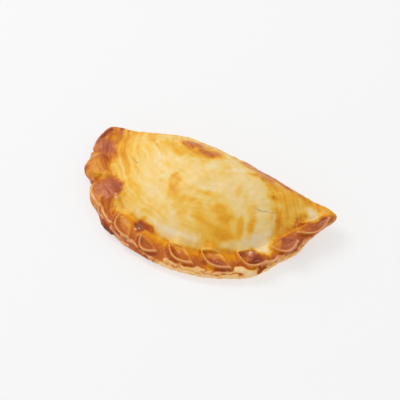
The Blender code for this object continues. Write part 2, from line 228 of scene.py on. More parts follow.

# Dabs of browning, and a few of painted light, painted one over the other: middle, half sizes, turn in
# degrees, how baked, strength.
DABS = [
    # Gold along the fold, left of the middle, and the two brown spots with their tails.
    (-43.5, 24.0, 19.0,  5.0,   -3, 0.40, 0.8),
    (-22.0, 23.5, 11.0,  4.5,    0, 0.40, 0.7),
    (-23.0, 19.0,  5.0,  1.8,   -5, 0.48, 0.6),
    (-12.5, 17.6,  8.0,  3.4,   10, 0.50, 0.9),
    (-3.0,  17.0,  2.6,  4.0,   20, 0.46, 0.6),
    (-9.0,  25.0, 12.0,  3.6,    0, 0.60, 0.8),
    (-14.0, 23.0,  5.0,  3.8,   20, 0.72, 0.9),
    (-2.6,  22.0,  5.4,  3.8,   15, 0.73, 0.9),
    # The gold shoulder outside the mound.
    (40.0,  13.0, 12.0, 12.0,    0, 0.46, 0.9),
    (45.0,  22.5, 16.0,  3.6,    0, 0.50, 0.8),
    (20.0,  25.8, 11.0,  2.4,   -8, 0.66, 0.8),
    (29.0,  22.0,  6.5,  2.6,  -28, 0.70, 0.9),
    (23.5,  21.6,  5.5,  1.6,    0, 0.62, 0.8),
    (35.0,  17.0,  3.0,  5.0,   40, 0.60, 0.9),
    (42.0,   8.0,  2.6,  7.0,   15, 0.57, 0.95),
    (46.5,   9.0,  1.6,  5.0,    0, 0.34, 0.6),
    (49.5,  10.0,  2.0,  5.0,    0, 0.54, 0.6),
    # The pale face of the mound.
    (27.0,   9.0, 13.5, 11.0,  -25, 0.13, 0.9),
    (37.0,   0.0,  5.0,  7.0,    0, 0.16, 0.8),
    (12.0,   8.0,  9.0,  6.0,    0, 0.20, 0.5),
    # Gold patches low on the dome.
    (15.0,  -8.0, 15.0,  6.0,   10, 0.40, 0.7),
    (-6.0,  -3.0,  9.0,  3.0,  -25, 0.32, 0.6),
    (10.0,   0.5,  7.0,  1.4,   12, 0.42, 0.7),
    (15.0,  -3.5,  5.0,  2.4,   15, 0.50, 0.9),
    (20.5,  -6.0,  5.0,  2.6,   10, 0.51, 0.9),
    (22.5, -11.5,  8.0,  2.6,   12, 0.54, 0.9),
    (8.5,  -10.5,  3.4,  2.0,    0, 0.50, 0.9),
    (13.0, -12.0,  5.0,  1.4,    5, 0.50, 0.7),
    (2.0,   -5.5,  6.0,  1.6,    0, 0.44, 0.8),
    (8.5,  -15.0,  7.5,  1.9,    5, 0.42, 0.85),
    (17.5, -17.0,  5.5,  2.0,   18, 0.52, 0.9),
    (24.5,  -5.6,  2.0,  2.2,    0, 0.30, 0.8),
    (28.0,  -4.5,  1.8,  4.0,   12, 0.51, 0.9),
    (32.0,  -1.5,  1.8,  4.2,   12, 0.53, 0.9),
    (20.0,   8.5,  1.6,  3.0,   15, 0.34, 0.6),
    (25.0,   6.0,  1.4,  3.0,   15, 0.36, 0.6),
    (-11.0,  0.0,  2.8,  4.0,   20, 0.53, 0.9),
    (-8.0,  -4.4,  3.2,  3.0,  -20, 0.50, 0.9),
    (-4.5,  -7.5,  3.6,  2.0,  -20, 0.46, 0.8),
    (-17.0, -16.6,  4.0,  2.4,  -20, 0.38, 0.7),
    (-32.4, -16.4,  5.5,  2.0,  -15, 0.31, 0.85),
    # Orange strokes down the left end.
    (-41.0,  8.0, 11.0, 14.0,    0, 0.38, 0.8),
    (-30.0, -9.0, 10.0,  6.0,  -30, 0.36, 0.7),
    (-48.2, 14.0,  4.2,  9.0,   18, 0.53, 0.9),
    (-50.5, 21.8,  3.4,  4.0,    0, 0.60, 0.8),
    (-26.0, 16.5,  9.0,  4.0,    0, 0.34, 0.7),
    (-42.5,  4.0,  3.6,  8.0,   20, 0.44, 0.75),
    (-35.5, -5.5,  3.6,  4.0,  -30, 0.42, 0.7),
    (-34.0, 13.0,  3.0, 10.0,   40, 0.22, 0.7),
    (-24.0,  0.0,  3.0, 10.0,   40, 0.18, 0.6),
    # Cream just inside the crimp.
    (-2.0, -20.6,  8.0,  2.0,    0, 0.08, 0.9),
    (9.6,  -19.2,  5.0,  1.8,    8, 0.14, 0.9),
    (38.2,  -3.4,  5.0,  1.8,   20, 0.04, 0.9),
    (31.5,  -9.0, 10.0,  1.3,   33, 0.10, 0.8),
    (40.2,  -5.8,  5.6,  2.9,   12, 0.04, 0.95),
    # Brown on the three lobes of the left end, reaching up onto the dome.
    (-57.0, 20.0,  6.0,  8.0,    0, 0.62, 0.8),
    (-62.0, 20.0,  2.2,  8.0,   -8, 0.88, 0.9),
    (-57.0, 12.5,  4.4,  4.6,   10, 0.80, 0.95),
    (-51.2,  9.6,  3.2,  3.6,   10, 0.70, 0.85),
    (-54.5,  5.0,  4.4,  3.8,    0, 0.77, 0.85),
    (-52.5,  0.5,  6.0,  3.4,    0, 0.65, 0.85),
    (-59.0, -4.5,  1.6,  3.0,    0, 0.90, 0.8),
    (-43.0, -7.5,  5.4,  4.8,  -30, 0.86, 0.95),
    (-46.5, -10.5, 3.6,  6.0,    0, 0.74, 0.8),
    (-38.4, -9.0,  2.4,  5.0,  -12, 0.82, 0.9),
    (-39.6, -14.5, 3.0,  3.6,    0, 0.78, 0.8),
    # The dark spot between two crimps at the front left, with a thin brown edge beside it.
    (-18.6, -21.6, 3.0,  3.0,   10, 0.99, 1.0),
    (-13.6, -20.8, 4.4,  1.2,  -12, 0.86, 0.9),
    # Brown on the right-hand crimps.
    (50.5,   3.0,  4.5,  5.0,    0, 0.86, 0.9),
    (46.0,  -2.2,  3.2,  3.4,   20, 0.55, 0.9),
    (36.9, -10.0,  2.6,  2.2,   15, 0.78, 0.9),
    (37.6, -11.7,  0.9,  0.9,    0, 0.60, 0.9),
    (50.8,  14.6,  2.2,  5.8,  -10, 0.69, 0.9),
    (50.0,  -6.6,  3.0,  2.0,    0, 0.70, 0.6),
    (65.5,  24.0,  1.2,  3.2,   20, 0.62, 0.8),
    (53.9,  21.6,  3.4,  5.2,   12, 0.00, 1.0),
    (50.6,  15.8,  1.5,  2.8,  -10, 0.64, 0.6),
    # Lighter colour on the outer side of the front crimps, painted light where shade falls there; small
    # changes of the wash on the dome.
    (23.0, -26.2,  2.2,  2.6,   20, 0.55, 0.8),
    (18.6, -22.8,  2.6,  1.8,   20, 0.58, 0.8),
    (36.0, -15.4,  2.4,  2.2,   30, 0.60, 0.8),
    (40.4, -17.6,  2.0,  1.8,   20, 0.56, 0.7),
    (-2.5, -10.8,  4.5,  2.2,  -15, 0.40, 0.8),
    (41.0, -19.4,  2.4,  1.4,   20, 0.10, 0.8),
    (29.3,   4.4,  2.4,  3.6,   10, 0.36, 0.8),
    (10.3,  -2.4,  3.0,  1.6,    0, 0.20, 0.7),
    (-30.4,  8.7,  5.0,  6.0,   40, 0.13, 0.7),
]

# How baked the bend of the fold is where it turns down at the back: place along X, level.
FOLD_BAKE = [(-64.0, 0.92), (-54.0, 0.66), (-44.0, 0.40), (-24.0, 0.44), (-8.0, 0.58), (3.0, 0.36),
             (11.0, 0.62), (24.0, 0.80), (40.0, 0.72), (52.0, 0.56), (60.0, 0.56), (66.0, 0.64)]

# Painted highlights: small pale glints on the glossy lobe, the dark spot and a bump, painted as bare dough:
# middle, half width.
PAINTED_GLINTS = [
    (-36.4, -13.2, 0.7),
    (-37.4, -11.6, 0.4),
    (-19.4, -24.2, 0.6),
    (-18.2, -22.6, 0.4),
    (36.8, -11.2, 1.1),
]

# Where the brown turns rosy, as it does over the filling's juices: middle, half sizes, strength.
ROSY = [
    (-43.5, -7.0,  6.0, 5.0, 0.7),
    (-57.5, 12.5,  4.6, 4.6, 0.9),
    (-18.6, -21.6, 2.4, 2.6, 0.7),
    (51.6,   3.6,  3.2, 4.0, 0.8),
    (24.0,  28.0, 14.0, 3.4, 0.7),
]

# Each dab has its own ragged edge, drawn from a seed of its own.
FIRST_DAB_SEED = 100
FIRST_ROSY_SEED = 300


def smooth(x, low, high):
    t = np.clip((x - low) / (high - low), 0.0, 1.0)
    return t * t * (3.0 - 2.0 * t)


def between(first, second, share):
    """The value a share of the way from the first to the second."""
    return first + (second - first) * share


def soft_max(a, b, width):
    h = np.clip(0.5 + 0.5 * (a - b) / width, 0.0, 1.0)
    return between(b, a, h) + width * h * (1.0 - h)


def pillow(t, roundness):
    """Rise from 0 to 1, steep at the start and level at the end, as dough over a filling."""
    return (1.0 - (1.0 - np.clip(t, 0.0, 1.0)) ** 2) ** (1.0 / roundness)


def swell(x, middle, half_width):
    return np.exp(-((x - middle) / half_width) ** 2)


def wobble(x, y, size, seed):
    """A smooth random field of about -1 to 1 whose waves are about `size` millimetres long."""
    count = 14
    draw = np.random.default_rng(seed)
    turns = draw.uniform(0.0, math.tau, count)
    pitches = math.tau / size * draw.uniform(0.6, 1.6, count)
    starts = draw.uniform(0.0, math.tau, count)
    waves = sum(np.cos(pitch * (x * math.cos(turn) + y * math.sin(turn)) + start)
                for turn, pitch, start in zip(turns, pitches, starts))
    return waves / math.sqrt(count / 2.0) / 1.8


def fold_line(x):
    """The back edge in plan: it bows back left of the middle and pulls in beside the left tip."""
    u = x / HALF_LENGTH
    bow = np.clip(1.0 - u ** 2, 0.0, 1.0) * (1.0 - FOLD_LEAN * u)
    return FOLD_BOW * bow * smooth(u, -0.95, -0.2)


def fold_height(x):
    """Height of the middle of the fold's rounded edge, from tip to tip."""
    left = between(LEFT_TIP_HEIGHT, FOLD_HEIGHT, smooth(x, -66.0, -25.0))
    return between(left, RIGHT_TIP_HEIGHT, smooth(x, 25.0, 66.0))


def rim_width(x, y):
    """Width of the crimped rim, narrower towards the tips."""
    turn = np.abs(np.arctan2(x, -np.minimum(y, -1e-6))) / (np.pi / 2.0)
    return between(RIM_WIDTH_FRONT, RIM_WIDTH_TIPS, smooth(turn, 0.55, 1.0))


def dome(x, y):
    """Height of the filled part over a point of the plan."""
    radius = np.sqrt((x / HALF_LENGTH) ** 2 + (np.minimum(y, 0.0) / DEPTH) ** 2)
    from_rim = (1.0 - radius) * DEPTH - rim_width(x, y) + 1.0
    from_fold = fold_line(x) - y
    crimp_side = pillow(from_rim / CRIMP_RISE, 1.35)
    fold_side = pillow(from_fold / FOLD_RISE, 2.0)
    left_side = pillow((x + HALF_LENGTH - LEFT_START) / LEFT_RISE, 1.5)
    right_side = pillow((HALF_LENGTH - RIGHT_START - x) / RIGHT_RISE, 2.0)
    foot = between(FOOT_HEIGHT, fold_height(x), smooth(from_fold, 28.0, 0.0))
    return between(foot, DOME_HEIGHT, crimp_side * fold_side * left_side * right_side)


def even_points(line, count):
    """Points spaced evenly along a line, and the length of line before each."""
    length = np.r_[0.0, np.cumsum(np.hypot(*np.diff(line, axis=0).T))]
    places = np.linspace(0.0, length[-1], count + 1)
    return np.stack([np.interp(places, length, line[:, axis]) for axis in (0, 1)], 1), places


def round_corners(ring, width):
    """Blur a closed ring of even points, which rounds its corners."""
    step = np.hypot(*(ring[1] - ring[0]))
    reach = int(3.0 * width / step)
    weights = np.exp(-0.5 * (np.arange(-reach, reach + 1) * step / width) ** 2)
    weights /= weights.sum()
    padded = np.concatenate([ring[-reach:], ring, ring[:reach]])
    return np.stack([np.convolve(padded[:, axis], weights, "valid") for axis in (0, 1)], 1)


def edge_plan():
    """The outline in plan, from the left tip along the crimped edge and back along the fold, and the length
    of the crimped edge and of the fold before each of its points."""
    fine = 2000
    turn = np.linspace(0.0, np.pi, fine)
    out = sum(reach * swell(HALF_LENGTH * turn, middle, width) for middle, width, reach in EDGE_SWELLS)
    crimped = np.stack([-(HALF_LENGTH + out) * np.cos(turn), -(DEPTH + out) * np.sin(turn)], 1)
    x = np.linspace(HALF_LENGTH, -HALF_LENGTH, fine)
    ring = np.concatenate([crimped[:-1], np.stack([x, fold_line(x)], 1)])
    near_fold = smooth(ring[:, 1], -16.0, -4.0)
    ring[:, 0] += RIGHT_SHIFT * smooth(ring[:, 0], 50.0, HALF_LENGTH) * near_fold
    ring[:, 0] += LEFT_SHIFT * smooth(ring[:, 0], -50.0, -HALF_LENGTH) * near_fold
    ring = round_corners(even_points(ring, 2 * fine)[0][:-1], TIP_ROUNDING)
    split = int(np.argmax(ring[:, 0]))
    crimped, along = even_points(ring[: split + 1], CRIMP_RAYS)
    fold, behind = even_points(np.concatenate([ring[split:], ring[:1]]), FOLD_RAYS)
    return np.concatenate([crimped[:-1], fold[:-1]]), along, behind


def distance_to(path, along, across):
    """How far each place on the rim is from a line through the given ones."""
    nearest = np.full(along.shape, np.inf)
    for start, end in zip(path[:-1], path[1:]):
        step = np.subtract(end, start)
        u, v = along - start[0], across - start[1]
        share = np.clip((u * step[0] + v * step[1]) / (step @ step), 0.0, 1.0)
        nearest = np.minimum(nearest, np.hypot(u - share * step[0], v - share * step[1]))
    return nearest


def from_cord(cord, along, across):
    """Distance from the middle of a cord in half widths; hands left its line and its width uneven."""
    bent_along = along + 0.9 * wobble(along, across, 9.0, 41)
    bent_across = across + 0.40 * wobble(along * 0.8, across, 4.5, 42)
    width = cord.half_width * (1.0 + 0.30 * wobble(along, across * 0.3, 6.0, 43))
    return distance_to(cord.path, bent_along, bent_across) / width


def petal_bows(petal, share):
    """How far the lower and the upper side of a petal bow out at a share of its length."""
    lower = petal.belly * np.sin(np.pi * share ** 0.8)
    upper = petal.back * np.sin(np.pi * share ** petal.skew).clip(0.0) ** petal.square
    return lower, upper


def in_petal(petal, along, across):
    """Distance from a petal's edge (below 0 inside), from its lower side and from its upper side, and the
    share of its length."""
    start = np.array(petal.inner)
    axis = np.subtract(petal.tip, petal.inner)
    inward = np.array([-axis[1], axis[0]]) / np.hypot(*axis)
    steps = 28
    way = np.linspace(0.0, 1.0, steps + 1)[:, None]
    lower, upper = petal_bows(petal, way)
    to_lower = distance_to(start + axis * way - inward * lower, along, across)
    to_upper = distance_to(start + axis * way + inward * upper, along, across)
    u, v = along - start[0], across - start[1]
    share = np.clip((u * axis[0] + v * axis[1]) / (axis @ axis), 0.0, 1.0)
    aside = u * inward[0] + v * inward[1]
    lower, upper = petal_bows(petal, share)
    inside = (share > 0.0) & (share < 1.0) & (aside > -lower) & (aside < upper)
    edge = np.minimum(to_lower, to_upper)
    return np.where(inside, -edge, edge), to_lower, to_upper, share


def in_lobe(lobe, along, across):
    """How far a place lies in a lobe: 0 in its middle, 1 at its edge, wider on the side of the dome."""
    turn = math.radians(lobe.slant)
    u, v = along - lobe.middle[0], lobe.middle[1] - across
    lengthwise = (u * math.cos(turn) + v * math.sin(turn)) / lobe.half_length
    sideways = (v * math.cos(turn) - u * math.sin(turn)) / lobe.half_width
    sideways = np.where(sideways < 0.0, sideways * 0.7, sideways)
    return (np.abs(lengthwise) ** 2.2 + np.abs(sideways) ** 2.2) ** (1.0 / 2.2)


def beside_lobes(along):
    """1 along the lobed left end, 0 along the petals."""
    return smooth(along, -4.0, 4.0) * smooth(along, 66.0, 56.0)


def petal_relief(petal, along, across):
    """What a petal covers, its height, its thin lips, and the groove along its lower side."""
    gap, to_lower, to_upper, share = in_petal(petal, along, across)
    upper_side = smooth(to_lower - to_upper, -1.0, 1.0)
    pad = smooth(-gap, -0.3, 0.5)
    skirt = np.exp(-np.clip(gap, 0.0, None) / (0.45 + 2.3 * upper_side))
    high_lip = petal.high_lip * smooth(share, 0.85, 0.25)
    lip = petal.low_lip * swell(to_lower, 0.50, 0.44) + high_lip * swell(to_upper, 0.4, 0.36)
    lip = lip * smooth(-gap, -0.2, 0.3)
    hollow = 1.0 - np.exp(-(np.clip(-gap - 0.6, 0.0, None) / 1.5) ** 2)
    hollow = hollow * (0.15 + 0.95 * smooth(to_upper / (to_upper + to_lower + 0.01), 0.05, 0.75))
    hollow = hollow * smooth(share, -0.25, 0.45)
    height = petal.rise * np.maximum(pad, 0.75 * skirt) + lip - petal.scoop * hollow
    return pad, height, lip, 0.75 * swell(gap, 0.85, 0.55) * (1.0 - upper_side)


def rim_relief(along, across):
    """Height of lobes, petals and cords over the plain roll of the rim, and where lips and grooves are."""
    height, pads, lips, grooves = (np.zeros(along.shape) for _ in range(4))
    gaps = smooth(wobble(along, across, 7.0, 44), -0.4, 0.6)
    for cord in CORDS:
        away = from_cord(cord, along, across)
        height = np.maximum(height, cord.rise * smooth(away, 1.2, 0.3))
        grooves = np.maximum(grooves * smooth(away, 0.6, 1.0), 0.65 * gaps * swell(away, 1.15, 0.3))
    for lobe in LOBES:
        height = soft_max(height, lobe.rise * smooth(in_lobe(lobe, along, across), 1.25, 0.55), 0.5)
    # A low swell joins the lobes to the dome.
    height = height + 1.1 * swell(across, 13.5, 3.6) * beside_lobes(along)
    for petal in PETALS:
        pad, raised, lip, groove = petal_relief(petal, along, across)
        height = np.maximum(height * (1.0 - pad), raised)
        pads = np.maximum(pads, pad)
        grooves = np.maximum(grooves * (1.0 - pad), groove)
        lips = np.maximum(lips * (1.0 - pad), lip / LIP_HEIGHT)
    for (middle_along, middle_across), width, rise in BUMPS:
        height = height + rise * swell(np.hypot(along - middle_along, across - middle_across), 0.0, width)
    for depth, width, path in CREASES:
        crease = swell(distance_to(path, along, across), 0.0, width)
        height = height - depth * crease
        grooves = np.maximum(grooves, 1.2 * depth * crease)
    grooves = grooves * (1.0 - pads)
    return height - 0.6 * grooves, lips, grooves


def blur(field, rings, rays):
    """Gaussian blur of a grid of vectors: across its rings, whose ends stop, and round its closed rays."""
    for axis, width in ((1, rings), (0, rays)):
        reach = int(3 * width)
        steps = np.arange(-reach, reach + 1)
        weights = np.exp(-0.5 * (steps / width) ** 2)
        padded = np.pad(field, [(reach, reach) if k == axis else (0, 0) for k in range(3)],
                        mode="edge" if axis == 1 else "wrap")
        places = np.arange(field.shape[axis])
        field = sum(weight * np.take(padded, places + number, axis)
                    for number, weight in enumerate(weights / weights.sum()))
    return field


def unit(vectors):
    return vectors / np.maximum(np.linalg.norm(vectors, axis=2, keepdims=True), 1e-9)


def from_mound(x, y):
    """Distance from the middle of the filling's mound."""
    return np.hypot(x - MOUND[0], y - MOUND[1])


def brush_path(x, y):
    """The way the brush went, in millimetres: across its strokes and along them."""
    out_left = np.hypot(x - SWEEP[0], y - SWEEP[1])
    round_left = np.arctan2(x - SWEEP[0], SWEEP[1] - y) * SWEEP_RADIUS
    out_right = from_mound(x, y)
    round_right = np.arctan2(x - MOUND[0], y - MOUND[1]) * MOUND_SWEEP_RADIUS
    shoulder = smooth(out_right, MOUND_RADIUS - 1.0, MOUND_RADIUS + 1.5) * smooth(x, 24.0, 32.0)
    across = between(out_left, out_right + MOUND_SWEEP_OFFSET, shoulder)
    return across, between(round_left, round_right, shoulder)


def hand_marks(x, y, along, across, crimped, above):
    """Low, uneven relief of hands, brush and oven: a step round the mound, pleats by the crimp, swells."""
    over_strokes, _ = brush_path(x, y)
    out = from_mound(x, y)
    down = smooth(out, MOUND_RADIUS - 1.8, MOUND_RADIUS + 1.8)
    back_up = smooth(out, MOUND_RADIUS + 14.0, MOUND_RADIUS)
    step = MOUND_STEP * down * back_up * smooth(x, 24.0, 32.0) * smooth(y, -9.0, -2.0)
    swells = 0.22 * wobble(x, y, 16.0, 3) + 0.10 * wobble(x, y, 6.0, 4)
    strokes = 0.05 * wobble(over_strokes, x * 0.12, 2.2, 5)
    pleats = 0.28 * wobble(along, across * 0.15, 6.5, 6) * swell(across, 15.0, 5.0) * crimped
    rough = 0.10 * wobble(along, across, 3.0, 7) * smooth(across, 16.0, 8.0) * crimped
    calmer_rim = 1.0 - 0.6 * smooth(across, 14.0, 8.0) * crimped
    return (swells + strokes - step) * above * calmer_rim + pleats * above + rough


def core_numbers():
    """Which point of the core line each ray runs to, counted from the left."""
    index = np.arange(CRIMP_RAYS + FOLD_RAYS)
    over_crimp = np.round(index * FOLD_RAYS / CRIMP_RAYS)
    return np.where(index <= CRIMP_RAYS, over_crimp, CRIMP_RAYS + FOLD_RAYS - index).astype(int)


def core_points(numbers):
    """The points of the core line, a little closer together towards its ends."""
    share = numbers / FOLD_RAYS
    share = between(share, (1.0 - np.cos(np.pi * share)) / 2.0, 0.7)
    return np.stack([CORE_HALF_LENGTH * (2.0 * share - 1.0), np.full(len(numbers), CORE_Y)], 1)


def rim_places(along, behind):
    """Place of each ray along the crimped edge, and how much it is crimp (1) or fold (0)."""
    index = np.arange(CRIMP_RAYS + FOLD_RAYS)
    on_crimp = index <= CRIMP_RAYS
    length = along[-1]
    here = along[np.minimum(index, CRIMP_RAYS)]
    there = np.interp(index - CRIMP_RAYS, np.arange(FOLD_RAYS + 1), behind)
    to_tip = np.where(on_crimp, np.minimum(here, length - here), -np.minimum(there, behind[-1] - there))
    near_right = there < behind[-1] / 2.0
    place = np.where(on_crimp, here, np.where(near_right, length - to_tip, to_tip))
    return place[:, None], smooth(to_tip, -7.0, 3.0)[:, None]


def ring_distances(span):
    """How far in from the edge the rings lie on each ray: over dome and rim, and under rim and base."""
    rays = len(span)
    over_rim = np.sin(np.linspace(0.0, np.pi / 2.0, OVER_RIM + 1)[:-1])
    under_rim = np.cos(np.linspace(0.0, np.pi / 2.0, UNDER_RIM + 1)[:-1])
    return np.concatenate([
        RIM_REACH + (span - RIM_REACH) * np.linspace(1.0, 0.0, OVER_DOME + 1)[:-1],
        np.broadcast_to(RIM_REACH * (1.0 - over_rim), (rays, OVER_RIM)),
        np.broadcast_to(UNDER_REACH * (1.0 - under_rim), (rays, UNDER_RIM)),
        UNDER_REACH + (span - UNDER_REACH) * np.linspace(0.0, 1.0, OVER_BASE + 1),
    ], 1)


def plain_height(x, y, from_edge, half_width, portion, crimp_share, above):
    """Height of the plain crust: the dome with the roll of the rim or the rounded fold, and the base."""
    rim_middle = between(RIM_MIDDLE_FRONT, RIM_MIDDLE_LEFT, smooth(portion, 0.3, 0.0))
    rim_middle = between(rim_middle, RIM_MIDDLE_RIGHT, smooth(portion, 0.7, 1.0))
    middle = between(fold_height(x), rim_middle, crimp_share)
    filled = dome(x, y)

    turn = np.clip((half_width - from_edge) / half_width, -1.0, 1.0)
    roll = rim_middle + RIM_HALF_HEIGHT * np.sqrt(1.0 - turn ** 2)
    roll = roll - 0.8 * np.clip(from_edge - 2.0 * half_width, 0.0, None)
    falling = filled - 1.2 * np.clip(half_width - from_edge, 0.0, None)
    top_crimp = soft_max(falling, roll, 4.0)

    inward = np.clip(from_edge / BEND_REACH, 0.0, 1.0)
    bend = BEND_RISE * (np.sqrt(1.0 - (1.0 - inward) ** 2) - inward)
    top_fold = soft_max(filled, middle, 3.0) + bend

    tuck = between(FOLD_TUCK, CRIMP_TUCK, crimp_share)
    low = (rim_middle - RIM_HALF_HEIGHT + 0.2) * crimp_share
    curl = np.sqrt(1.0 - np.clip(1.0 - from_edge / tuck, 0.0, 1.0) ** 2)
    bottom = between(middle, low, curl) * smooth(from_edge, tuck + 5.0, tuck * 0.9)
    return np.where(above, between(top_fold, top_crimp, crimp_share), bottom)


def relief_way(plain, place, across, crimp_share, above):
    """The way the relief stands out of the plain crust: blurred, so that it stays even round the tight edge,
    and upright where the lobes meet the dome."""
    round_it = np.roll(plain, 1, 0) - np.roll(plain, -1, 0)
    outward = unit(np.cross(round_it, np.gradient(plain, axis=1)))
    outward = unit(blur(outward, BLUR_RINGS, BLUR_RAYS))
    upright = beside_lobes(place) * smooth(across, 5.0, 10.0) * crimp_share * above
    return unit(between(outward, np.array([0.0, 0.0, 1.0]), upright[:, :, None]))


def crust():
    """The whole crust as a grid: rays from the edge over the top and over the base, both to the core line."""
    edge, along, behind = edge_plan()
    numbers = core_numbers()
    to_core = core_points(numbers) - edge
    span = np.hypot(*to_core.T)[:, None]
    place, crimp_share = rim_places(along, behind)
    from_edge = ring_distances(span)
    x, y = (edge[:, None, axis] + to_core[:, None, axis] * from_edge / span for axis in (0, 1))
    over_rings = OVER_DOME + OVER_RIM
    above = np.broadcast_to(np.arange(from_edge.shape[1]) < over_rings, from_edge.shape)
    half_width = rim_width(edge[:, 0], edge[:, 1])[:, None] / 2.0
    height = plain_height(x, y, from_edge, half_width, place / along[-1], crimp_share, above)
    plain = np.stack([x, y, height], 2)

    # Length of crust from the edge, over the top (+) or underneath (-).
    steps = np.linalg.norm(np.diff(plain, axis=1), axis=2)
    run = np.pad(np.cumsum(steps, 1), ((0, 0), (1, 0)))
    across = run[:, over_rings][:, None] - run
    place = np.broadcast_to(place, across.shape)

    # The relief on it, and the part's origin.
    x, y = x - MIDDLE_X, y - MIDDLE_Y
    crimped = crimp_share * smooth(from_edge, 26.0, 18.0)
    relief, lips, grooves = rim_relief(place, across)
    relief = relief * crimped + hand_marks(x, y, place, across, crimp_share, above)
    outward = relief_way(plain, place, across, crimp_share, above)
    shaped = plain + outward * relief[:, :, None] - np.array([MIDDLE_X, MIDDLE_Y, 0.0])
    shaped[:, :, 2] = np.maximum(shaped[:, :, 2], 0.0)

    # Rays that end in one point of the core line meet there, so the crust closes on the top and on the base.
    meeting = -numbers % len(numbers)
    shaped[:, 0] = shaped[meeting, 0]
    shaped[:, -1] = shaped[meeting, -1]
    return dict(points=shaped, x=x, y=y, along=place, across=across, crimped=crimped, above=above,
                lips=lips * crimped, grooves=grooves * crimped)


def dabbed(x, y, middle_x, middle_y, half_x, half_y, turn, seed):
    """Cover of one ragged dab, 1 in its middle and 0 outside."""
    angle = math.radians(turn)
    u = ((x - middle_x) * math.cos(angle) + (y - middle_y) * math.sin(angle)) / half_x
    v = ((y - middle_y) * math.cos(angle) - (x - middle_x) * math.sin(angle)) / half_y
    ragged = 0.18 * wobble(x, y, 6.0, seed) + 0.06 * wobble(x, y, 2.6, seed + 1)
    return smooth(1.5 + ragged - np.hypot(u, v), 0.0, 1.05)


def rim_browning_light_and_shade(dough):
    """Browning of the crimped rim, with painted shade in its grooves and deep hollows and painted light on
    its front foot, and where it is pale: bare of egg wash, and painted highlight along the lips.
    """
    along, across = dough["along"], dough["across"]
    ragged = wobble(along, across, 5.0, 21)
    lobed = smooth(along, 66.0, 52.0)
    front = smooth(along, 97.0, 106.0) * smooth(along, 176.0, 166.0)
    top = between(RIM_TOP_BAKE, LOBE_BAKE, lobed)
    level = between(RIM_INNER_BAKE, top, smooth(across + 0.8 * ragged, 11.5, 6.0))
    low = smooth(across, 2.6, 0.6)
    # The foot under the front crimps is pale dough, made paler still as painted light on its shaded front
    # side.
    level = between(level, between(FOOT_BAKE, FRONT_FOOT_BAKE_AND_LIGHT, front) + 0.06 * ragged, low)
    bare = 0.8 * low * front
    for cord in CORDS:
        cover = smooth(from_cord(cord, along, across), 1.15, 0.6)
        level = between(level, cord.bake + 0.10 * ragged, cover)
        bare = between(bare, cord.bare, cover)
    spots = smooth(wobble(along, across * 1.8, 4.0, 23), 0.4, 0.8) * swell(across, 1.6, 1.3)
    level = between(level, SPOT_BAKE, 0.5 * spots)
    bare = bare * (1.0 - 0.8 * spots) * (0.75 + 0.25 * wobble(along, across * 2.0, 5.0, 22))
    for petal in PETALS:
        gap, to_lower, to_upper, share = in_petal(petal, along, across)
        inside = smooth(gap, 0.1, -0.5)
        # Each petal darkens towards its lower side: partly its own browning, partly painted shade in the deep
        # hollow.
        depth = 0.8 * to_upper / (to_lower + to_upper + 0.01) + 0.3 * share + 0.08 * ragged
        petal_bake_and_shade = between(petal.upper_bake, petal.lower_bake, smooth(depth, 0.25, 0.95))
        level = between(level, petal_bake_and_shade, inside)
        bare = bare * (1.0 - inside)
    # Painted shade: the grooves under the lips, beside the cords and in the creases are darkened.
    level = between(level, GROOVE_SHADE, 0.44 * dough["grooves"])
    bare = bare * (1.0 - dough["grooves"])
    # The lips are lightened and paled: partly their own colour, partly painted highlight.
    lips = dough["lips"].clip(0.0, 1.0)
    return between(level, LIP_BAKE_AND_HIGHLIGHT, 0.8 * lips), np.maximum(bare, 0.42 * lips).clip(0.0, 1.0)


def under_browning(level, dough):
    """Browning of the bend of the fold and its lower side, and of the base, which lay on the hot tray."""
    x, y, height = dough["x"], dough["y"], dough["points"][:, :, 2]
    folded = 1.0 - dough["crimped"]
    from_bend = fold_line(x + MIDDLE_X) - MIDDLE_Y - y
    bend = smooth(from_bend + 0.6 * wobble(x, y, 5.0, 17), 7.0, 3.0) * folded
    places, levels = zip(*FOLD_BAKE)
    level = between(level, np.interp(x, places, levels) + 0.06 * wobble(x, y, 4.0, 18), 0.85 * bend)
    below_fold = smooth(height + 1.4 * wobble(x, height, 7.0, 19), 12.5, 4.0) * folded
    level = between(level, UNDER_FOLD_BAKE + 0.08 * wobble(x, y * 3.0, 7.0, 14), 0.85 * below_fold)
    on_tray = smooth(height, 1.6, 0.3) * ~dough["above"]
    patches = 0.14 * wobble(x, y, 9.0, 15) + 0.08 * wobble(x, y, 3.0, 16)
    return between(level, TRAY_BAKE + patches, on_tray)


def rosiness(dough):
    """How rosy the brown is: low in some of the petals, and over the filling's juices."""
    x, y = dough["x"], dough["y"]
    rosy = np.zeros(x.shape)
    for petal in PETALS:
        gap, to_lower, to_upper, _ = in_petal(petal, dough["along"], dough["across"])
        low_side = smooth(gap, 0.0, -1.5) * smooth(to_lower - to_upper, 1.5, -1.0)
        rosy = np.maximum(rosy, petal.rosy * low_side * dough["crimped"])
    for number, (*shape, strength) in enumerate(ROSY):
        rosy = np.maximum(rosy, strength * dabbed(x, y, *shape, 0, FIRST_ROSY_SEED + 2 * number))
    return rosy


def stroke_strength(dough, on_rim):
    """How strongly the brush strokes show: most on the left, less on rim and mound, none low on the fold."""
    x, height = dough["x"], dough["points"][:, :, 2]
    strength = (0.95 + 0.7 * smooth(-x, 20.0, 40.0)) * (1.0 - 0.75 * on_rim)
    strength = strength * np.maximum(dough["above"] * dough["crimped"], smooth(height, 4.0, 11.0))
    on_mound = smooth(from_mound(x, dough["y"]), 22.5, 17.0) * smooth(x, 0.0, 20.0)
    return np.clip(strength * (1.0 - 0.75 * on_mound), 0.0, 1.5)


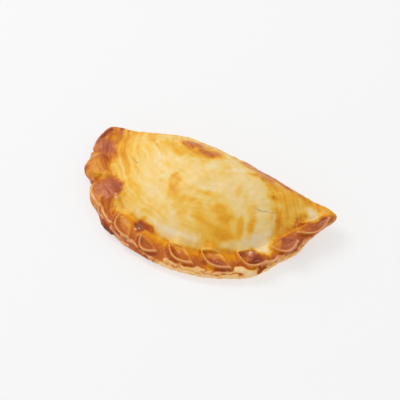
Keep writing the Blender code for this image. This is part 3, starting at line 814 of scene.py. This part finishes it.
def browning_light_and_shade(dough):
    """How baked the whole crust is, with painted light and shade, how strongly brush strokes show, how rosy
    it is, and where it is bare of egg wash and where highlights are painted.
    """
    x, y, across, crimped = dough["x"], dough["y"], dough["across"], dough["crimped"]
    level = PLAIN_BAKE + 0.05 * wobble(x, y, 14.0, 11) + 0.04 * wobble(x, y, 5.0, 12)
    on_rim = smooth(across + wobble(x, y, 6.0, 13), 17.0, 13.5) * crimped
    rim_level, bare = rim_browning_light_and_shade(dough)
    level = between(level, rim_level, on_rim)
    off_lips = 1.0 - np.clip(dough["lips"] * 0.9, 0.0, 1.0)
    for number, (*shape, target, strength) in enumerate(DABS):
        cover = dabbed(x, y, *shape, FIRST_DAB_SEED + 2 * number)
        level = between(level, target, strength * cover * off_lips)
    level = under_browning(level, dough)
    foot = swell(from_mound(x, y), MOUND_RADIUS + 1.6, 1.5) * smooth(x, 28.0, 34.0)
    level = level + 0.10 * foot * smooth(across, 14.0, 19.0)
    # Painted highlights: small glints laid in with the pale colour of bare dough.
    for glint_x, glint_y, width in PAINTED_GLINTS:
        bare = np.maximum(bare, 1.2 * swell(np.hypot(x - glint_x, y - glint_y), 0.0, width))
    return np.clip(level, 0.0, 1.0), stroke_strength(dough, on_rim), rosiness(dough), bare * crimped


def deselect_all():
    bpy.ops.object.select_all(action="DESELECT")


def put(mesh, name, values):
    layer = mesh.attributes.new(name, "FLOAT", "POINT")
    layer.data.foreach_set("value", np.ascontiguousarray(values, dtype=np.float32).ravel())


def closed_round(grid):
    """The grid as rows from the top to the base, its first ray repeated at the end."""
    return np.concatenate([grid, grid[:1]], 0).swapaxes(0, 1)


def make_crust():
    """A flat grid of dough, laid over the filling and under it, and welded where its edges meet."""
    dough = crust()
    rays, rings = dough["x"].shape
    bpy.ops.mesh.primitive_grid_add(x_subdivisions=rays, y_subdivisions=rings - 1, size=0.1, calc_uvs=True)
    pastry = bpy.context.active_object
    pastry.name = pastry.data.name = "baked_crust"
    mesh = pastry.data
    mesh.vertices.foreach_set("co", (closed_round(dough["points"]) * MM).astype(np.float32).ravel())
    for name, values in zip(("browning_light_and_shade", "streaks", "rosy", "bare"), browning_light_and_shade(dough)):
        put(mesh, name, closed_round(values))
    over, along = brush_path(dough["x"], dough["y"])
    path = np.stack([closed_round(over), closed_round(along)], 2).reshape(-1, 2) / BRUSH_UNIT
    corners = np.empty(len(mesh.loops), dtype=np.int32)
    mesh.loops.foreach_get("vertex_index", corners)
    mesh.uv_layers[0].name = "brush"
    mesh.uv_layers["brush"].data.foreach_set("uv", path[corners].astype(np.float32).ravel())
    bpy.ops.object.mode_set(mode="EDIT")
    bpy.ops.mesh.select_all(action="SELECT")
    bpy.ops.mesh.remove_doubles(threshold=WELD_DISTANCE)
    bpy.ops.mesh.normals_make_consistent(inside=False)
    bpy.ops.object.mode_set(mode="OBJECT")
    bpy.ops.object.shade_smooth()
    deselect_all()
    return pastry


# The finish

def colour(red, green, blue):
    """A colour given in 0 to 255, as the linear values that a shader takes."""
    def linear(c):
        c = c / 255.0
        return c / 12.92 if c <= 0.04045 else ((c + 0.055) / 1.055) ** 2.4
    return (linear(red), linear(green), linear(blue), 1.0)


# The colour of the dough at each stage of baking, of the rosy brown, and of dough that the wash missed, which
# also gives the painted highlights.
BAKE_STEPS = [
    (0.00, colour(248, 228, 186)),
    (0.14, colour(247, 216, 148)),
    (0.28, colour(246, 203, 104)),
    (0.40, colour(243, 186, 60)),
    (0.50, colour(238, 168, 26)),
    (0.60, colour(224, 142, 18)),
    (0.70, colour(206, 112, 24)),
    (0.80, colour(182, 86, 24)),
    (0.90, colour(160, 70, 22)),
    (1.00, colour(112, 46, 20)),
]
ROSY_BROWN = colour(196, 116, 84)
BARE_DOUGH_AND_HIGHLIGHT = colour(255, 209, 165)


class Finish:
    """A material's nodes, added one by one and wired by name."""

    def __init__(self, name):
        self.material = bpy.data.materials.new(name)
        self.material.use_nodes = True
        self.tree = self.material.node_tree
        self.shader = self.tree.nodes["Principled BSDF"]

    def add(self, kind, settings=None, **values):
        node = self.tree.nodes.new(kind)
        for key, value in (settings or {}).items():
            setattr(node, key, value)
        for key, value in values.items():
            self.feed(node.inputs[key], value)
        return node

    def feed(self, socket, value):
        if isinstance(value, bpy.types.NodeSocket):
            self.tree.links.new(value, socket)
        else:
            socket.default_value = value

    def surface(self, values):
        for name, value in values.items():
            self.feed(self.shader.inputs[name], value)

    def math(self, operation, first, second, clamp=False):
        node = self.add("ShaderNodeMath", {"operation": operation, "use_clamp": clamp})
        self.feed(node.inputs[0], first)
        self.feed(node.inputs[1], second)
        return node.outputs[0]

    def times(self, first, second):
        return self.math("MULTIPLY", first, second)

    def sum_of(self, *terms):
        total = terms[0]
        for term in terms[1:]:
            total = self.math("ADD", total, term)
        return total

    def vector(self, operation, first, second):
        node = self.add("ShaderNodeVectorMath", {"operation": operation})
        self.feed(node.inputs[0], first)
        self.feed(node.inputs[1], second)
        return node.outputs[0]

    def tint(self, cover, under, over):
        """One colour laid over another."""
        node = self.add("ShaderNodeMix", {"data_type": "RGBA"})
        self.feed(node.inputs[0], cover)
        self.feed(node.inputs[6], under)
        self.feed(node.inputs[7], over)
        return node.outputs[2]

    def grain(self, where, scale, detail, stretch=None):
        """Noise from -0.5 to 0.5 on a place given by a socket."""
        if stretch:
            where = self.add("ShaderNodeMapping", Vector=where, Scale=stretch).outputs[0]
        noise = self.add("ShaderNodeTexNoise", Vector=where, Scale=scale, Detail=detail)
        return self.math("SUBTRACT", noise.outputs["Fac"], 0.5)

    def read(self, name):
        return self.add("ShaderNodeAttribute", {"attribute_name": name}).outputs["Fac"]


def brush_strokes(dough, place):
    """Patchy strokes along the brush's way: how much all of them colour it, and the thin ones' relief."""
    path = dough.add("ShaderNodeUVMap", {"uv_map": "brush"}).outputs["UV"]
    bend = dough.add("ShaderNodeTexNoise", Vector=place, Scale=60.0, Detail=2.0).outputs["Color"]
    bend = dough.vector("SUBTRACT", bend, (0.5, 0.5, 0.5))
    path = dough.vector("ADD", path, dough.vector("MULTIPLY", bend, (0.06, 0.06, 0.0)))
    patchy = dough.math("ADD", dough.times(dough.grain(place, 50.0, 2.0), 2.4), 0.75, clamp=True)
    strength = dough.times(dough.read("streaks"), patchy)
    broad = dough.grain(path, 1.0, 3.0, stretch=(27.0, 4.5, 1.0))
    thin = dough.grain(path, 1.0, 2.0, stretch=(75.0, 8.0, 1.0))
    both = dough.sum_of(dough.times(broad, 0.75), dough.times(thin, 0.40))
    return dough.times(both, strength), dough.times(thin, strength)


def baked_colour(dough, baked):
    """Colour by how baked the dough is, with its painted light and shade, rosy over the juices, and pale
    where the wash missed it and where highlights are painted.
    """
    ramp = dough.add("ShaderNodeValToRGB", Fac=baked)
    steps = ramp.color_ramp.elements
    while len(steps) < len(BAKE_STEPS):
        steps.new(1.0)
    for step, (position, shade) in zip(steps, BAKE_STEPS):
        step.position = position
        step.color = shade
    blush = dough.times(dough.read("rosy"), dough.times(baked, 0.70))
    washed = dough.tint(blush, ramp.outputs[0], ROSY_BROWN)
    return dough.tint(dough.times(dough.read("bare"), 0.85), washed, BARE_DOUGH_AND_HIGHLIGHT)


def baked_dough():
    """Egg-washed dough: browned, brushed and finely mottled, with small blisters and a satin gloss."""
    dough = Finish("egg_washed_dough")
    place = dough.add("ShaderNodeTexCoord").outputs["Object"]
    strokes, thin_strokes = brush_strokes(dough, place)
    mottle = dough.times(dough.grain(place, 900.0, 4.0), 0.12)
    cloud = dough.times(dough.grain(place, 170.0, 3.0), 0.14)
    baked = dough.math("ADD", dough.sum_of(dough.read("browning_light_and_shade"), strokes, mottle), cloud, clamp=True)

    even_gloss = dough.math("ADD", dough.times(baked, -0.22), 0.52)
    dull_patches = dough.times(dough.grain(place, 260.0, 2.0), 0.25)

    crumb = dough.times(dough.grain(place, 1500.0, 5.0), 0.10)
    skin = dough.times(dough.grain(place, 420.0, 3.0), 0.22)
    height = dough.sum_of(crumb, skin, dough.times(thin_strokes, 0.12))
    blisters = dough.add("ShaderNodeBump", Strength=0.5, Distance=0.001, Height=height)

    dough.surface({
        "Base Color": baked_colour(dough, baked),
        "Roughness": dough.math("ADD", even_gloss, dull_patches, clamp=True),
        "Normal": blisters.outputs[0],
        "IOR": 1.45,
        "Specular IOR Level": 0.4,
        "Subsurface Weight": 0.12,
        "Subsurface Radius": (1.0, 0.45, 0.15),
        "Subsurface Scale": 0.0015,
    })
    return dough.material


# The table is pale and glows a little, which keeps it even all round. In metres: its size, and the gap
# between it and the crust.
TABLE_SIZE = 6.0
TABLE_GAP = 0.0002


def table_top():
    """The pale surface that the empanada lies on."""
    top = Finish("pale_table")
    top.surface({
        "Base Color": (0.34, 0.34, 0.34, 1.0),
        "Emission Color": (1.0, 1.0, 1.0, 1.0),
        "Emission Strength": 0.61,
        "Roughness": 0.9,
        "Specular IOR Level": 0.1,
    })
    bpy.ops.mesh.primitive_plane_add(size=TABLE_SIZE, location=(0.0, 0.0, -TABLE_GAP))
    floor = bpy.context.active_object
    floor.name = "table_top"
    floor.data.materials.append(top.material)
    deselect_all()


# Light and camera

# The camera's turn from the front and its height in degrees, and its distance in metres. It holds the aimed
# point of the dough, in millimetres, on one pixel of the picture, whose pixels are half a millimetre wide.
CAMERA_SPIN = 26.73
CAMERA_HEIGHT = 52.0
CAMERA_DISTANCE = 0.8
AIM = (4.7 - MIDDLE_X, 0.0 - MIDDLE_Y, 8.0)
AIM_PIXEL = (225.69, 171.55)
PIXELS = 400
PIXEL_SIZE = 0.5
SENSOR = 36.0

# The even light of the room.
ROOM_LIGHT = 0.64


def toward(spin, height):
    """The direction from the table's middle to a point at that turn from the front and that height."""
    a, e = math.radians(spin), math.radians(height)
    return Vector((math.sin(a) * math.cos(e), -math.cos(a) * math.cos(e), math.sin(e)))


def facing(place, target):
    """The turn of a camera or lamp that looks from a place at a target."""
    return (target - place).to_track_quat("-Z", "Y").to_euler()


def set_camera():
    back = toward(CAMERA_SPIN, CAMERA_HEIGHT)
    spin = math.radians(CAMERA_SPIN)
    right = Vector((math.cos(spin), math.sin(spin), 0.0))
    up = back.cross(right)
    aim = Vector(AIM) * MM
    eye = aim + back * CAMERA_DISTANCE
    across = (PIXELS / 2 - AIM_PIXEL[0]) * PIXEL_SIZE * MM
    down = (AIM_PIXEL[1] - PIXELS / 2) * PIXEL_SIZE * MM
    camera = bpy.data.objects.new("camera", bpy.data.cameras.new("camera"))
    camera.data.sensor_width = SENSOR
    camera.data.lens = SENSOR * CAMERA_DISTANCE / (PIXELS * PIXEL_SIZE * MM)
    camera.location = eye
    camera.rotation_euler = facing(eye, aim + right * across + up * down)
    bpy.context.scene.collection.objects.link(camera)
    bpy.context.scene.camera = camera


def soft_light(name, spin, height, distance, size, power):
    lamp = bpy.data.objects.new(name, bpy.data.lights.new(name, "AREA"))
    lamp.data.size = size
    lamp.data.energy = power
    lamp.location = toward(spin, height) * distance
    lamp.rotation_euler = facing(lamp.location, Vector((0.0, 0.0, 0.0)))
    bpy.context.scene.collection.objects.link(lamp)


def set_light():
    world = bpy.data.worlds.new("studio")
    world.use_nodes = True
    background = world.node_tree.nodes["Background"]
    background.inputs["Color"].default_value = (1.0, 1.0, 1.0, 1.0)
    background.inputs["Strength"].default_value = ROOM_LIGHT
    bpy.context.scene.world = world
    soft_light("window", spin=-97.0, height=54.0, distance=1.3, size=0.6, power=6.5)
    bpy.context.scene.view_settings.view_transform = "Standard"


def main():
    deselect_all()
    pastry = make_crust()
    pastry.data.materials.append(baked_dough())
    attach(pastry, "root")
    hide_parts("pastry")
    table_top()
    set_light()
    set_camera()


main()
